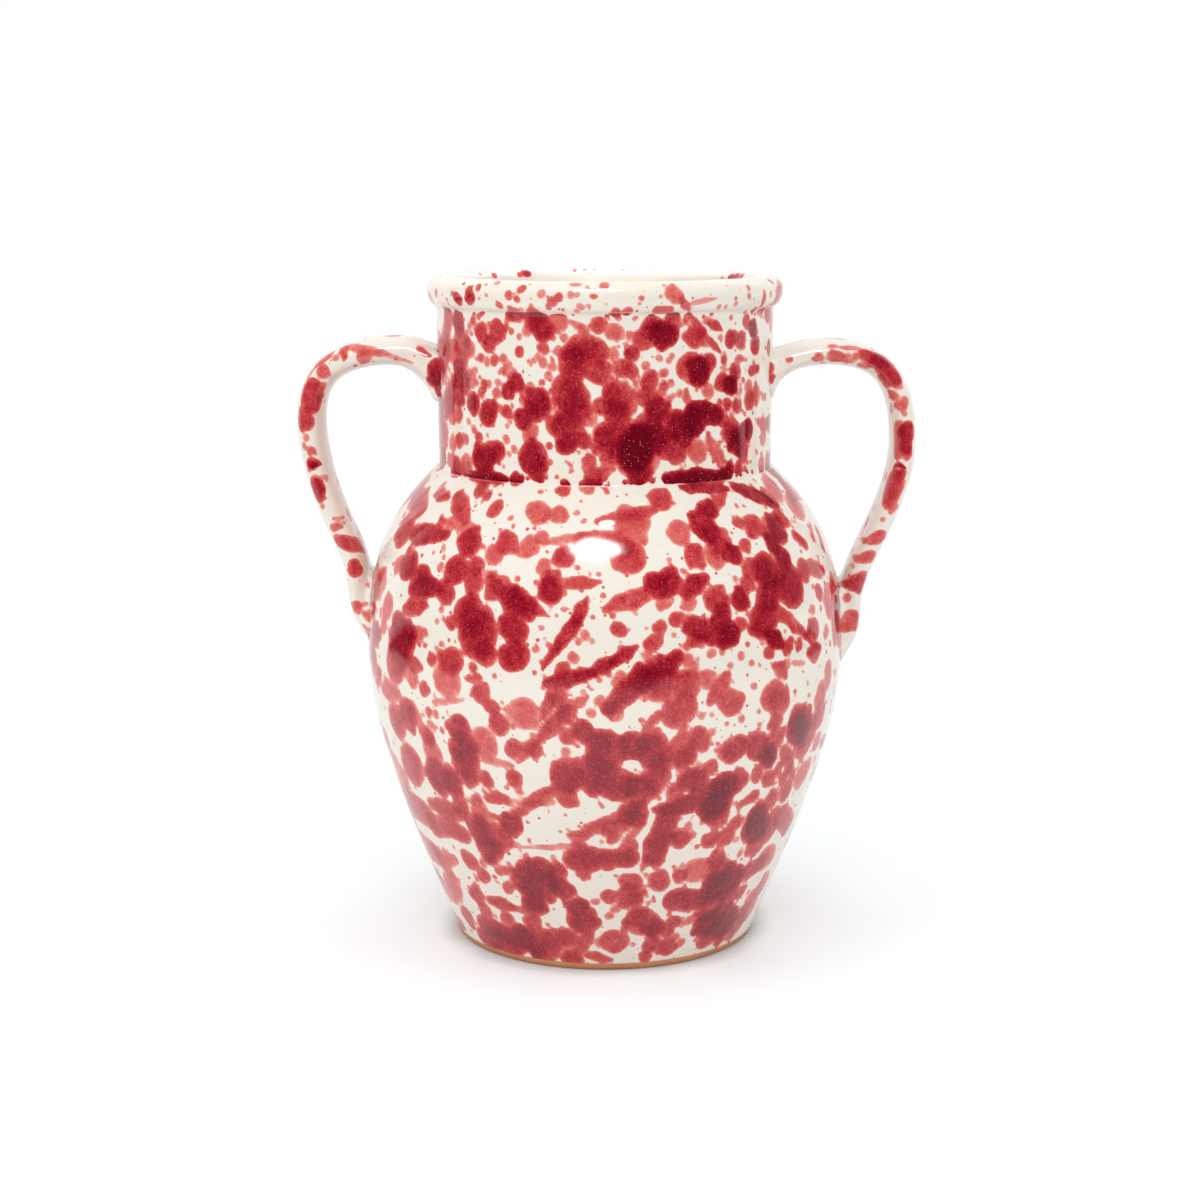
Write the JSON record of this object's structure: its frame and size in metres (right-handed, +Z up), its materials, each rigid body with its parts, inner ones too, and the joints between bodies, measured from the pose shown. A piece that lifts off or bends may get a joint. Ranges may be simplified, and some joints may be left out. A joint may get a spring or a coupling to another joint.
{
  "type": "two-handled vase",
  "caption": "Round-bellied glazed earthenware vase with a straight neck, rolled rim and strap handles from neck to belly.",
  "frame": {"origin": "centre of the foot, on the surface that the vase stands on", "axes": "+Z up along the axis of the turned body, +X towards the right handle seen from the front, +Y to the back"},
  "size_m": [0.2767, 0.2146, 0.3],
  "materials": {
    "splatter_glaze": "gloss cream tin glaze with wine-red splatter",
    "bare_terracotta": "unglazed fired orange clay"
  },
  "bodies": {
    "root": {"floor_disc": "bare_terracotta", "vessel_body": "splatter_glaze", "neck_collar": "splatter_glaze", "rolled_rim": "splatter_glaze", "handle_left": "splatter_glaze", "handle_right": "splatter_glaze"}
  },
  "joints": []
}
